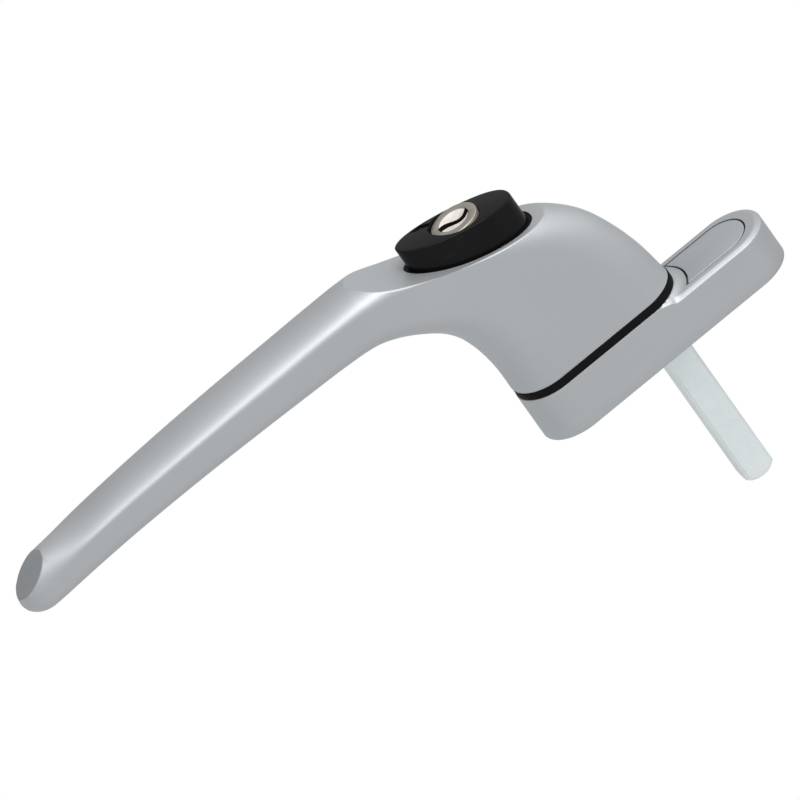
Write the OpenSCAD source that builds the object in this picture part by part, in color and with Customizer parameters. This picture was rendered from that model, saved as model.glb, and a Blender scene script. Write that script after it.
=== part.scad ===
// Lockable tilt turn handle for a window sash.
// The origin is on the spindle's axis at the mounting face. +Z runs up the base and
// +Y goes into the window, so the room is on the -Y side and the closed lever hangs to -Z.
// Every piece is drawn lying on its back (x across, y along the base, z out from the
// sash), and upright() then stands it against the sash.

/* [Base] */
// Width of the base, the gasket and the neck
base_w = 18; // [18:0.5:20]
// Distance from the spindle to the base's lower end
base_down = 33.1; // [32.5:0.1:34]
// Distance from the spindle to the base's upper end
base_up = 31.9; // [31.5:0.1:34]
// Height of the base at the screw cover
base_h = 10.8; // [10.6:0.1:11]
// Rise of the seat under the neck
seat_rise = 1.1; // [1:0.1:1.3]
// Distance between the fixing screws
screw_pitch = 43; // [43:1:43]
// Diameter of the fixing screw holes
screw_hole_d = 5.4; // [5.2:0.1:5.6]

/* [Spindle] */
// Width across the flats of the square spindle
spindle_w = 7; // [7:1:7]
// Length of spindle that stands out of the mounting face
spindle_out = 38.8; // [25:0.1:45]

/* [Bearing] */
// Thickness of the gasket between base and neck
gasket_t = 2; // [1.8:0.1:2.2]
// Diameter of the neck's hub that turns in the base
hub_d = 12.5; // [12:0.1:12.8]
// Radial clearance of the turning and sliding fits
run_fit = 0.05; // [0.02:0.01:0.08]

/* [Lock button] */
// Length of the button
button_l = 27; // [26:0.5:28]
// Width of the button
button_w = 13; // [12.5:0.1:13.2]
// Distance that the button travels when it is pushed
button_travel = 4.5; // [4:0.1:4.5]
// Slope of the button's top
button_slope = 12.9; // [10:0.1:15]
// Diameter of the lock's face
lock_face_d = 11.2; // [11:0.1:11.4]

/* [Hidden] */
$fn = 96;

silver = [0.65, 0.67, 0.68];
cool_silver = [0.60, 0.61, 0.64];
black = [0.04, 0.04, 0.045];
zinc = [0.75, 0.81, 0.81];
nickel = [0.66, 0.63, 0.57];
brass = [0.72, 0.58, 0.30];
steel = [0.55, 0.56, 0.58];

eps = 0.02;             // small allowance for faces that only meet
seam = 0.1;             // gap round a fitted cover or plate
end_r = base_w / 2;
seat_z = base_h + seat_rise;
gasket_z = seat_z + gasket_t;
neck_z = gasket_z + 0.05;

// base interior
cavity_z = 6.8;         // ceiling of the detent's chamber
cavity_w = 15;
cavity_l = 20;
plate_t = 1.5;
plate_w = 14.4;
plate_l = 34;
plate_screw_x = 4.8;
plate_screw_y = 14.6;
leaf_x = 6;             // middle of each leaf spring
leaf_t = 0.5;
leaf_l = 26;
screw_head_d = 10;
screw_head_h = 2.6;

// screw cover
cover_w = 13;
cover_end_y = 21.8;     // centre of its round end
cover_arc_r = 11.3;     // its lower edge runs round the spindle
cover_floor_z = 8.2;
cover_gap = 0.25;
peg_d = 2;
peg_x = 4.2;
peg_y = 15;

// rotor, washer and clip on the spindle
rotor_w = 11.4;
rotor_r = 6.8;
rotor_z = [2.4, 6.2];
washer_z = [6.25, 6.75];
clip_z = [1.7, 2.3];
clip_r = [4.25, 5.5];
spindle_corner_r = 4.6;
spindle_end_r = 3.2;    // its end is turned down to this
spindle_top_z = 28;
spindle_pin_d = 2.5;
spindle_pin_z = 22;

// button, pocket and bezel
button_y = -22.75;
button_z = 40.6;        // underside of the button at rest
button_top_z = 55.52;   // top of the button at button_y
pocket_z = 36;
bezel_wall = 1;
button_gap = 0.12;
stop_pin_d = 2;
stop_pin_y = -32.5;
stop_pin_z = 42.5;

// lock barrel
lock_y = -22.4;
lock_face_z = 55.4;
flange_t = 2.5;
barrel_d = 9.6;
sleeve_d = 10.8;
sleeve_z = 37;
barrel_z = 37.6;
tail_d = 8;
cam_z = [33, 35.2];
cam_reach = 6;
cam_chamber_d = 13.2;
cam_chamber_z = 25;
ring_z = [30.9, 32.1];
wafer_count = 5;
wafer_pitch = 2.6;
wafer_z = 40;
wafer_t = 0.9;
wafer_w = 5.4;
keyway_l = 7.5;
keyway_t = 1.5;
keyway_wave = -0.75;
dish_r = 3.6;           // shallow dish round the keyway
dish_depth = 0.8;

// locking bolt and its spring
bolt_y = -12.2;
bolt_d = 4;
bolt_tip_z = 15.45;
collar_z = [39.4, button_z];
collar_d = 5.6;
spring_seat_z = 24;
spring_chamber_d = 5.9;
spring_wire_d = 0.56;
spring_coils = 8;
keeper_d = 7;

// concave cut on the front of the neck
scoop_r = 113.8;
scoop_y = 8.4;
scoop_z = 157.5;

// Flat cut on the room side of the lever's tip, through facet_y, facet_z
facet_y = -139.8;
facet_z = 54.4;
facet_tilt = 31.9;

// Stations along the lever, from the tip to the neck's foot. Each is a slice through it:
// [y, z on the window side, y, z on the room side, half width, corner radius on the
// window side, height of the crown on the room side].
stations = [
    [-145.55, 48.7, -144.85, 54, 1, 1, 2.6],
    [-145.05, 47.4, -144.35, 55.1, 2.3, 2.3, 3.9],
    [-143.8, 46.5, -143.1, 56, 4.1, 3, 4.9],
    [-141.6, 46.1, -140.9, 56.7, 5.4, 3, 5.5],
    [-138.4, 46.3, -137.7, 57, 6, 3, 5.4],
    [-128, 47.5, -127, 56.9, 7.1, 3, 2.7],
    [-116, 48.1, -115, 57.8, 7.4, 3, 2.7],
    [-100, 48.4, -100, 58.5, 7.8, 3, 2.8],
    [-84, 48.2, -84, 59, 8, 3, 3.1],
    [-70, 47.8, -70, 59.3, 8.05, 3, 3.5],
    [-60, 47.4, -58, 59.4, 8.1, 3.1, 3.5],
    [-52.7, 46.6, -48, 59.4, 8.3, 3.5, 4.4],
    [-47.8, 44.7, -37, 58.2, 8.6, 4.2, 5.8],
    [-43, 41.5, -25, 54.8, 8.9, 5.2, 7],
    [-38.9, 37.6, -12.5, 49, 9, 6.4, 8.2],
    [-36.2, 33.3, -4.4, 44, 9, 7.4, 8.8],
    [-34.4, 28, 1.3, 37.8, 9, 8.2, 9],
    [-33.5, 23.4, 4.8, 30.6, 9, 8.7, 9],
    [-33.1, 18.6, 7.2, 22.6, 9, 9, 9],
    [-base_down, neck_z, 8.6, neck_z, 9, 9, 9]
];
slices = 2;             // slices between two stations
corner_steps = 4;       // steps round each corner of a slice

module upright() rotate([90, 0, 0]) children();

// Oblong with round ends, from y0 to y1.
module oblong(y0, y1, r) {
    translate([-r, y0 + r]) square([2 * r, y1 - y0 - 2 * r]);
    translate([0, y0 + r]) circle(r = r);
    translate([0, y1 - r]) circle(r = r);
}

module drill(x, y, z0, z1, d) translate([x, y, z0]) cylinder(d = d, h = z1 - z0);

// Hole or pin across the neck, from x0 to x1.
module cross_drill(x0, x1, y, z, d)
    translate([x0, y, z]) rotate([0, 90, 0]) cylinder(d = d, h = x1 - x0);

module square_bar(w, z0, z1) translate([-w / 2, -w / 2, z0]) cube([w, w, z1 - z0]);

// Outline of the button, drawn out to half length a and half width b: an ellipse on
// its lower half, fuller on its upper half.
function lens_point(t, a, b) =
    let (c = cos(t), s = sin(t), p = s > 0 ? 0.84 : 1)
    [b * sign(c) * pow(abs(c), p), a * sign(s) * pow(abs(s), p)];
module lens(grow) {
    polygon([for (t = [0 : 7.5 : 352.5]) lens_point(t, button_l / 2 + grow, button_w / 2 + grow)]);
}
module lens_prism(grow, z0, z1)
    translate([0, button_y, z0]) linear_extrude(z1 - z0) lens(grow);

// Straight cut on the front of the neck, shallower by lift.
module scoop(lift)
    translate([-20, scoop_y, scoop_z]) rotate([0, 90, 0])
        cylinder(r = scoop_r - lift, h = 40, $fn = 240);

// Smooth value between stations b and c, with a and d on their far sides.
function blend(a, b, c, d, t) =
    b + t / 2 * (c - a + t * (2 * a - 5 * b + 4 * c - d + t * (3 * b - a - 3 * c + d)));
function station(i) = stations[max(0, min(len(stations) - 1, i))];
function slice_at(u) =
    let (i = min(floor(u), len(stations) - 2))
    blend(station(i - 1), station(i), station(i + 1), station(i + 2), u - i);
function corner(u, v, r, hw, hd, side_x, side_v, start) =
    let (rx = side_v > 0 ? hw - 0.2 : min(r, hw - 0.2))
    [for (k = [0 : corner_steps]) let (a = start + 90 * k / corner_steps)
        [side_x * (hw - rx) + rx * cos(a), u + v * (side_v * (hd - r) + r * sin(a))]];
function ring(s) =
    let (inner = [s[0], s[1]], outer = [s[2], s[3]],
         hd = norm(outer - inner) / 2, v = (outer - inner) / (2 * hd),
         mid = (inner + outer) / 2)
    [for (c = concat(corner(mid, v, s[6], s[4], hd, 1, 1, 0),
                     corner(mid, v, s[6], s[4], hd, -1, 1, 90),
                     corner(mid, v, s[5], s[4], hd, -1, -1, 180),
                     corner(mid, v, s[5], s[4], hd, 1, -1, 270)))
        [c[0], c[1][0], c[1][1]]];

// Closed skin over equal rings of points, with a fan over each end.
module skin(rings) {
    n = len(rings[0]);
    last = len(rings) - 1;
    points = [for (r = rings) each r];
    sides = [for (i = [0 : last - 1], k = [0 : n - 1])
        let (a = i * n + k, b = i * n + (k + 1) % n)
        each [[a, b, b + n], [a, b + n, a + n]]];
    ends = [for (k = [1 : n - 2])
        each [[0, k + 1, k], [last * n, last * n + k, last * n + k + 1]]];
    polyhedron(points = points, faces = concat(sides, ends));
}

module lever_casting()
    skin([for (k = [0 : slices * (len(stations) - 1)]) ring(slice_at(k / slices))]);

// Round wire wound on a helix round the z axis.
module coil(r, wire_d, z0, z1, turns) {
    steps = 14;
    sides = 6;
    rise = (z1 - z0 - wire_d) / (turns * steps);
    skin([for (i = [0 : turns * steps])
        let (a = 360 * i / steps)
        [for (k = [0 : sides - 1]) let (b = -360 * k / sides)
            [(r + wire_d / 2 * cos(b)) * cos(a), (r + wire_d / 2 * cos(b)) * sin(a),
             z0 + wire_d / 2 + rise * i + wire_d / 2 * sin(b)]]]);
}

// ---- pieces on the base ----

module cover_outline(gap) {
    w = cover_w / 2 - gap;
    difference() {
        union() {
            translate([-w, 5]) square([2 * w, cover_end_y - 5]);
            translate([0, cover_end_y]) circle(r = w);
        }
        circle(r = cover_arc_r + gap);
    }
}

module screw_hole(y, face_z) {
    drill(0, y, -1, face_z + 1, screw_hole_d);
    translate([0, y, face_z - screw_head_h])
        cylinder(d1 = screw_hole_d, d2 = screw_head_d, h = screw_head_h);
    drill(0, y, face_z, seat_z + 1, screw_head_d);
}

module plate_screw_places()
    for (x = [-1, 1], y = [-1, 1]) translate([x * plate_screw_x, y * plate_screw_y]) children();

module base_housing() {
    color(silver) upright() difference() {
        union() {
            linear_extrude(base_h) oblong(-base_down, base_up, end_r);
            linear_extrude(seat_z) oblong(-base_down, end_r, end_r);
        }
        translate([0, 0, cover_floor_z]) linear_extrude(5) cover_outline(0);
        for (x = [-1, 1]) drill(x * peg_x, peg_y, 6.6, cover_floor_z + 1, peg_d);
        screw_hole(screw_pitch / 2, cover_floor_z);
        screw_hole(-screw_pitch / 2, seat_z);
        translate([-cavity_w / 2, -cavity_l / 2, -1]) cube([cavity_w, cavity_l, cavity_z + 1]);
        for (x = [-1, 1]) translate([x * leaf_x - 0.35, -leaf_l / 2 - 0.2, 0])
            cube([0.7, leaf_l + 0.4, cavity_z - 0.4]);
        translate([-plate_w / 2 - seam, -plate_l / 2 - seam, -1])
            cube([plate_w + 2 * seam, plate_l + 2 * seam, plate_t + 1]);
        plate_screw_places() cylinder(d = 2.2, h = 5.8);
        drill(0, 0, 0, seat_z + 1, hub_d + 2 * run_fit);
        drill(0, bolt_y, cover_floor_z, seat_z + 1, keeper_d + 2 * eps);
    }
}

module screw_cover() {
    color(cool_silver) upright() {
        difference() {
            translate([0, 0, cover_floor_z + 0.2])
                linear_extrude(base_h - cover_floor_z - 0.2) cover_outline(cover_gap);
            translate([0, 0, cover_floor_z]) linear_extrude(1.2) cover_outline(1.4);
        }
        for (x = [-1, 1]) drill(x * peg_x, peg_y, 6.8, base_h - 1, peg_d - 2 * eps);
    }
}

module bearing_gasket() {
    color(black) upright() difference() {
        translate([0, 0, seat_z]) linear_extrude(gasket_t) oblong(-base_down + 0.1, end_r - 0.1, end_r - 0.1);
        drill(0, 0, seat_z - 1, gasket_z + 1, hub_d + 0.3);
        drill(0, bolt_y, seat_z - 1, gasket_z + 1, keeper_d + 0.1);
        drill(0, -screw_pitch / 2, seat_z - 1, gasket_z + 1, screw_head_d + 0.4);
    }
}

module keeper_bush() {
    color(steel) upright() difference() {
        drill(0, bolt_y, cover_floor_z, gasket_z - 0.05, keeper_d);
        drill(0, bolt_y, cover_floor_z - 1, gasket_z + 1, bolt_d + 0.6);
    }
}

module detent_springs() {
    color(steel) upright() for (x = [-1, 1])
        translate([x * leaf_x - leaf_t / 2, -leaf_l / 2, 2.6]) cube([leaf_t, leaf_l, 3.4]);
}

module backing_plate() {
    color(steel) upright() difference() {
        translate([-plate_w / 2, -plate_l / 2, 0]) cube([plate_w, plate_l, plate_t]);
        drill(0, 0, -1, plate_t + 1, 10.4);
        plate_screw_places() translate([0, 0, -1]) cylinder(d = 2.2, h = plate_t + 2);
        plate_screw_places() cylinder(d1 = 4, d2 = 2.2, h = 1);
    }
}

module plate_screws() {
    color(zinc) upright() plate_screw_places() difference() {
        union() {
            translate([0, 0, 0.1]) cylinder(d = 1.9, h = 5.4);
            translate([0, 0, 0.1]) cylinder(d1 = 3.7, d2 = 1.9, h = 1);
        }
        translate([-2.5, -0.25, -0.1]) cube([5, 0.5, 0.6]);
    }
}

// ---- pieces that turn with the lever ----

module lever() {
    color(silver) upright() difference() {
        union() {
            lever_casting();
            drill(0, 0, cavity_z + 0.05, neck_z + 4, hub_d);
        }
        translate([-10, facet_y, facet_z]) rotate([facet_tilt, 0, 0])
            translate([0, -15, 0]) cube([20, 30, 12]);
        scoop(0);
        lens_prism(bezel_wall + eps, pocket_z, 70);
        drill(0, lock_y, cam_chamber_z, pocket_z + 1, cam_chamber_d);
        drill(0, bolt_y, spring_seat_z, pocket_z + 1, spring_chamber_d);
        drill(0, bolt_y, neck_z - 1, spring_seat_z + 1, bolt_d + 2 * run_fit);
        square_bar(spindle_w + 0.1, 0, spindle_top_z + 0.1);
        cross_drill(-12, 5.2, 0, spindle_pin_z, spindle_pin_d + 2 * eps);
        cross_drill(-12, 8, stop_pin_y, stop_pin_z, stop_pin_d + 2 * eps);
    }
}

module spindle() {
    end_h = spindle_corner_r - spindle_end_r;
    color(zinc) upright() difference() {
        intersection() {
            square_bar(spindle_w, -spindle_out, spindle_top_z);
            union() {
                drill(0, 0, end_h - spindle_out, spindle_top_z, 2 * spindle_corner_r);
                translate([0, 0, -spindle_out])
                    cylinder(r1 = spindle_end_r, r2 = spindle_corner_r, h = end_h);
            }
        }
        difference() {
            drill(0, 0, clip_z[0] - eps, clip_z[1] + eps, 12);
            drill(0, 0, clip_z[0] - 1, clip_z[1] + 1, 2 * clip_r[0] - 0.1);
        }
        cross_drill(-5, 5, 0, spindle_pin_z, spindle_pin_d + 2 * eps);
    }
}

module spindle_pin() {
    color(steel) upright() cross_drill(-7.5, 5, 0, spindle_pin_z, spindle_pin_d);
}

module thrust_washer() {
    color(steel) upright() difference() {
        drill(0, 0, washer_z[0], washer_z[1], 14);
        square_bar(spindle_w + 0.1, washer_z[0] - 1, washer_z[1] + 1);
    }
}

module index_rotor() {
    color(zinc) upright() difference() {
        intersection() {
            square_bar(rotor_w, rotor_z[0], rotor_z[1]);
            drill(0, 0, rotor_z[0], rotor_z[1], 2 * rotor_r);
        }
        square_bar(spindle_w + 0.1, rotor_z[0] - 1, rotor_z[1] + 1);
    }
}

module spindle_clip() {
    color(steel) upright() difference() {
        drill(0, 0, clip_z[0], clip_z[1], 2 * clip_r[1] - 1);
        drill(0, 0, clip_z[0] - 1, clip_z[1] + 1, 2 * clip_r[0]);
        translate([-1.5, 0, clip_z[0] - 1]) cube([3, 8, 3]);
    }
}

module button_bezel() {
    color(black) upright() difference() {
        lens_prism(bezel_wall, pocket_z + eps, 70);
        lens_prism(button_gap, pocket_z - 1, 71);
        scoop(-0.2);
        cross_drill(-12, 8, stop_pin_y, stop_pin_z, stop_pin_d + 2 * eps);
    }
}

module catch_ring() {
    color(steel) upright() difference() {
        drill(0, lock_y, ring_z[0], ring_z[1], cam_chamber_d - 2 * eps);
        drill(0, lock_y, ring_z[0] - 1, ring_z[1] + 1, tail_d + 0.8);
        translate([-2.2, lock_y - 8, ring_z[0] - 1]) cube([4.4, 8, 4]);
    }
}

module button_stop_pin() {
    color(steel) upright() cross_drill(-7.4, 7.8, stop_pin_y, stop_pin_z, stop_pin_d);
}

module button_spring() {
    color(steel) upright() translate([0, bolt_y, 0])
        coil(2.43, spring_wire_d, spring_seat_z + 0.05, collar_z[0] - 0.05, spring_coils);
}

// ---- pieces that travel with the button ----

module lock_button() {
    color(black) upright() difference() {
        lens_prism(0, button_z, 64);
        translate([0, button_y, button_top_z]) rotate([-button_slope, 0, 0])
            translate([-20, -30, 0]) cube([40, 60, 20]);
        drill(0, lock_y, lock_face_z - flange_t - 0.05, 64, lock_face_d + 0.2);
        drill(0, lock_y, button_z - 1, 60, sleeve_d + 2 * eps);
        drill(0, bolt_y, button_z - 1, 45.2, 3);
        translate([-10, stop_pin_y - 1.15, 41.4])
            cube([20, 2.3, stop_pin_z + stop_pin_d / 2 + button_travel + 0.2 - 41.4]);
    }
}

module lock_sleeve() {
    color(brass) upright() difference() {
        drill(0, lock_y, sleeve_z, lock_face_z - flange_t - 0.05, sleeve_d);
        drill(0, lock_y, sleeve_z - 1, lock_face_z, barrel_d + 2 * run_fit);
    }
}

module locking_bolt() {
    color(steel) upright() {
        drill(0, bolt_y, bolt_tip_z, collar_z[1], bolt_d);
        drill(0, bolt_y, collar_z[0], collar_z[1], collar_d);
        drill(0, bolt_y, collar_z[1], 45, 3 - 2 * eps);
    }
}

// ---- pieces that turn with the key ----

module keyway() {
    translate([0, lock_y, 38.6]) linear_extrude(20) polygon(concat(
        [for (k = [0 : 12]) [keyway_t / 2 + keyway_wave * sin(30 * k), keyway_l * (k / 12 - 0.5)]],
        [for (k = [12 : -1 : 0]) [-keyway_t / 2 + keyway_wave * sin(30 * k), keyway_l * (k / 12 - 0.5)]]));
}

module wafer_places() for (k = [0 : wafer_count - 1])
    translate([0, lock_y, wafer_z + k * wafer_pitch]) children();

module key_plug() {
    dish_ball = (dish_r * dish_r + dish_depth * dish_depth) / (2 * dish_depth);
    color(nickel) upright() difference() {
        union() {
            drill(0, lock_y, lock_face_z - flange_t, lock_face_z, lock_face_d);
            drill(0, lock_y, barrel_z, lock_face_z - 1, barrel_d);
            drill(0, lock_y, cam_z[1] + 0.05, barrel_z + 1, tail_d);
            drill(0, lock_y, cam_z[0] + 0.1, barrel_z, 5);
        }
        keyway();
        translate([0, lock_y, lock_face_z + dish_ball - dish_depth]) sphere(r = dish_ball);
        wafer_places() translate([-wafer_w / 2 - 0.05, -6, -0.05])
            cube([wafer_w + 0.1, 12, wafer_t + 0.1]);
        wafer_places() translate([wafer_w / 2 - 0.1, -1.6, -0.05]) cube([1.2, 3.2, wafer_t + 0.1]);
        drill(0, lock_y, cam_z[0] - 1, 38, 2.5);
    }
}

module wafers() {
    color(brass) upright() wafer_places() difference() {
        intersection() {
            translate([-wafer_w / 2, -5, 0]) cube([wafer_w, 10, wafer_t]);
            cylinder(d = barrel_d - 0.1, h = wafer_t);
        }
        translate([-1.6, -keyway_l / 2 - 0.1, -1]) cube([3.2, keyway_l + 0.2, 3]);
    }
}

module wafer_springs() {
    color(steel) upright() wafer_places()
        translate([wafer_w / 2 + 0.52, 1.5, wafer_t / 2]) rotate([90, 0, 0]) difference() {
            cylinder(r = 0.42, h = 3, $fn = 24);
            translate([0, 0, -1]) cylinder(r = 0.25, h = 5, $fn = 24);
        }
}

module lock_cam() {
    color(steel) upright() difference() {
        union() {
            drill(0, lock_y, cam_z[0], cam_z[1], tail_d + 0.4);
            intersection() {
                translate([-1.75, lock_y - cam_reach, cam_z[0]])
                    cube([3.5, cam_reach, cam_z[1] - cam_z[0]]);
                drill(0, lock_y, cam_z[0], cam_z[1], 2 * cam_reach);
            }
        }
        drill(0, lock_y, cam_z[0] - 1, cam_z[1] + 1, 5 + 2 * eps);
    }
}

module cam_screw() {
    color(zinc) upright() difference() {
        union() {
            drill(0, lock_y, cam_z[0] - 1.2, cam_z[0], 5.5);
            drill(0, lock_y, cam_z[0] - 0.5, 37.8, 2.5 - 2 * eps);
        }
        translate([-3, lock_y - 0.4, cam_z[0] - 2]) cube([6, 0.8, 1.4]);
    }
}

base_housing();
screw_cover();
bearing_gasket();
keeper_bush();
detent_springs();
backing_plate();
plate_screws();
lever();
spindle();
spindle_pin();
thrust_washer();
index_rotor();
spindle_clip();
button_bezel();
catch_ring();
button_stop_pin();
button_spring();
lock_button();
lock_sleeve();
locking_bolt();
key_plug();
wafers();
wafer_springs();
lock_cam();
cam_screw();
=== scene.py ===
"""Lockable tilt turn handle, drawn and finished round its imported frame."""

import math

import bmesh
import bpy
from bpy.props import FloatProperty, FloatVectorProperty, IntProperty, PointerProperty
from mathutils import Matrix, Vector


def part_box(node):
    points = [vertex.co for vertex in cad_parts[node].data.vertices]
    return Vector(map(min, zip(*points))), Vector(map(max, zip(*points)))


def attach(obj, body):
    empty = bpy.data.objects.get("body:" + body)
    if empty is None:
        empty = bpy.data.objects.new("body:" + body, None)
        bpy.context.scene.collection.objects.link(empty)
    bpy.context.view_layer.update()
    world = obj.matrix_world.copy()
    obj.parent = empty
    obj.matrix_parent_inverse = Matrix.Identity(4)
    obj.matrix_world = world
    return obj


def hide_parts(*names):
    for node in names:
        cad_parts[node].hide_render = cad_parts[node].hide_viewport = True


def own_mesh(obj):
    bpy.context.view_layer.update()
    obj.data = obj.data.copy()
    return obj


bl_info = {
    "name": "Tilt Turn Handle",
    "version": (1, 0, 0),
    "blender": (4, 5, 0),
    "location": "View3D > Sidebar > Handle",
    "description": "Adds a lockable tilt turn handle for a window, piece by piece",
    "category": "Add Mesh",
}

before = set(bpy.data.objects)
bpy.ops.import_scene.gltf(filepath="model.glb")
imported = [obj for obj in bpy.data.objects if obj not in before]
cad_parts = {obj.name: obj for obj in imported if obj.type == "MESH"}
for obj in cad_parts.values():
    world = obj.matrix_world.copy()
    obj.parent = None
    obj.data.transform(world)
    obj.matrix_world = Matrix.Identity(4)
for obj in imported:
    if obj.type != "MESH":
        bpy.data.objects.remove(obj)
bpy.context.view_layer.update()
MM = 0.001


def span(node):
    """Box of a node in millimetres as (across, up, out) pairs of low and high."""
    low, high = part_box(node)
    return ((low.x / MM, high.x / MM), (low.z / MM, high.z / MM), (-high.y / MM, -low.y / MM))


BASE = span("base_housing")
COVER = span("screw_cover")
GASKET = span("bearing_gasket")
BUTTON = span("lock_button")
PLUG = span("key_plug")
SPINDLE = span("spindle")
BUSH = span("keeper_bush")
PLATE = span("backing_plate")

SCREW_UP = 21.5                         # fixing screws, above and below the spindle
END_R = BASE[0][1]                      # half the base's width, and its ends' radius
SEAT = GASKET[2][0]                     # face of the base under the gasket
COVER_FACE = COVER[2][1]
COVER_GAP = 0.42                        # seam round the screw cover
COVER_W = COVER[0][1] + 0.25            # half width and top of its pocket
COVER_TOP = COVER[1][1] + 0.25
COVER_ARC = 11.3                        # hollow end of the pocket, about the spindle
NECK_FACE = GASKET[2][1] + 0.05
BOLT_UP = (BUSH[1][0] + BUSH[1][1]) / 2
LOCK_UP = (PLUG[1][0] + PLUG[1][1]) / 2
LOCK_FACE = PLUG[2][1]
LOCK_R = PLUG[0][1]
BUTTON_UP = (BUTTON[1][0] + BUTTON[1][1]) / 2

# Stations along the lever, from the tip to the neck's foot: up and out on the window
# side, up and out on the room side, half width, corner radius on the window side,
# height of the crown on the room side.
STATIONS = (
    (-145.55, 48.7, -144.85, 54, 1, 1, 2.6),
    (-145.05, 47.4, -144.35, 55.1, 2.3, 2.3, 3.9),
    (-143.8, 46.5, -143.1, 56, 4.1, 3, 4.9),
    (-141.6, 46.1, -140.9, 56.7, 5.4, 3, 5.5),
    (-138.4, 46.3, -137.7, 57, 6, 3, 5.4),
    (-128, 47.5, -127, 56.9, 7.1, 3, 2.7),
    (-116, 48.1, -115, 57.8, 7.4, 3, 2.7),
    (-100, 48.4, -100, 58.5, 7.8, 3, 2.8),
    (-84, 48.2, -84, 59, 8, 3, 3.1),
    (-70, 47.8, -70, 59.3, 8.05, 3, 3.5),
    (-60, 47.4, -58, 59.4, 8.1, 3.1, 3.5),
    (-52.7, 46.6, -48, 59.4, 8.3, 3.5, 4.4),
    (-47.8, 44.7, -37, 58.2, 8.6, 4.2, 5.8),
    (-43, 41.5, -25, 54.8, 8.9, 5.2, 7),
    (-38.9, 37.6, -12.5, 49, 9, 6.4, 8.2),
    (-36.2, 33.3, -4.4, 44, 9, 7.4, 8.8),
    (-34.4, 28, 1.3, 37.8, 9, 8.2, 9),
    (-33.5, 23.4, 4.8, 30.6, 9, 8.7, 9),
    (-33.1, 18.6, 7.2, 22.6, 9, 9, 9),
    (-33.1, NECK_FACE, 8.6, NECK_FACE, 9, 9, 9),
)
SCOOP_R = 113.8                         # straight cut on the front of the neck
SCOOP_UP = 8.4
SCOOP_OUT = 157.5
FACET_UP = -139.8                       # flat cut on the lever's tip
FACET_OUT = 54.4
FACET_TILT = math.radians(31.9)
HUB_R = 6.25
HUB_FOOT = 6.85
POCKET_OUT = 36.0
BEZEL_WALL = 1.0
GROOVE = ((-4.1, -31.2), (-2.05, -26.8), (-3.7, -25.7), (-5.4, -28.3))
KEY_L = 7.5                             # keyway's length, width and wave
KEY_W = 1.75
KEY_WAVE = 0.8
STOP_PIN = (-32.5, 42.5, 1.02)          # up, out and radius of the cross holes
SPINDLE_PIN = (0.0, 22.0, 1.27)


# ---- sizes and colours ----


class LeverLook(bpy.types.PropertyGroup):
    """Rounding and fineness of the lever."""

    slices: IntProperty(name="Slices", description="Slices between two stations",
                        default=12, min=2, max=24)
    ridge: FloatProperty(name="Ridge", description="Rounding where the front cut meets the sides, in mm",
                         default=0.8, min=0.1, max=2.0)
    foot: FloatProperty(name="Foot", description="Rounding of the neck's foot, in mm",
                        default=0.3, min=0.05, max=1.0)


class BaseLook(bpy.types.PropertyGroup):
    """Rounding of the base, its cover and its gasket."""

    edge: FloatProperty(name="Edge", description="Size of the soft chamfer beside the cover, as a factor",
                        default=1.0, min=0.5, max=3.0)
    seat_edge: FloatProperty(name="Seat edge", description="Size of the edge under the gasket, as a factor",
                             default=0.05, min=0.02, max=1.0)
    sweep: FloatProperty(name="Sweep", description="Radius of the hollow round the seat, in mm",
                         default=2.0, min=1.5, max=5.0)
    cover_edge: FloatProperty(name="Cover edge", description="Edge radius of the screw cover, in mm",
                              default=0.4, min=0.05, max=1.0)


class ButtonLook(bpy.types.PropertyGroup):
    """Shape of the lock button and the lock's face."""

    edge: FloatProperty(name="Edge", description="Edge radius of the button's top, in mm",
                        default=0.35, min=0.05, max=1.0)
    slope: FloatProperty(name="Slope", description="Slope of the button's top",
                         default=math.radians(12.9), subtype="ANGLE")
    dish: FloatProperty(name="Dish", description="Depth of the dish round the keyway, in mm",
                        default=0.8, min=0.2, max=1.5)
    dish_r: FloatProperty(name="Dish radius", description="Radius of the dish, in mm",
                          default=3.6, min=2.0, max=4.5)


def colour(name, description, value):
    return FloatVectorProperty(name=name, description=description, subtype="COLOR",
                               size=3, min=0.0, max=1.0, default=value)


class FinishLook(bpy.types.PropertyGroup):
    """Colours of the finishes."""

    silver: colour("Silver", "Powder coat of the lever and the base", (0.525, 0.547, 0.560))
    cool_silver: colour("Cover silver", "Powder coat of the screw cover", (0.525, 0.550, 0.582))
    black: colour("Black", "Black mouldings", (0.007, 0.007, 0.0075))
    nickel: colour("Nickel", "Satin nickel of the lock's face", (0.60, 0.555, 0.48))
    zinc: colour("Zinc", "Bright zinc of the spindle", (0.90, 0.97, 0.98))
    steel: colour("Steel", "Plain steel of springs and pins", (0.42, 0.43, 0.45))
    brass: colour("Brass", "Plain brass inside the lock", (0.66, 0.47, 0.20))
    floor: colour("Floor", "Pale floor", (0.80, 0.80, 0.79))


class StageLook(bpy.types.PropertyGroup):
    """Camera, light and floor."""

    lens: FloatProperty(name="Lens", description="Focal length in mm", default=1600.0)
    distance: FloatProperty(name="Distance", description="From the camera to the handle",
                            default=7.585, unit="LENGTH")
    floor_drop: FloatProperty(name="Floor", description="Height of the floor", default=-1.6,
                              unit="LENGTH")
    room: FloatProperty(name="Room", description="Brightness of the room", default=0.70)


# ---- drawing ----


def at(across, up, out):
    """Point given across the sash, up it and out from it, in millimetres."""
    return Vector((across, -out, up)) * MM


def mix(a, b, t):
    return a + (b - a) * t


def smooth_step(low, high, value):
    t = min(1.0, max(0.0, (value - low) / (high - low)))
    return t * t * (3 - 2 * t)


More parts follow.
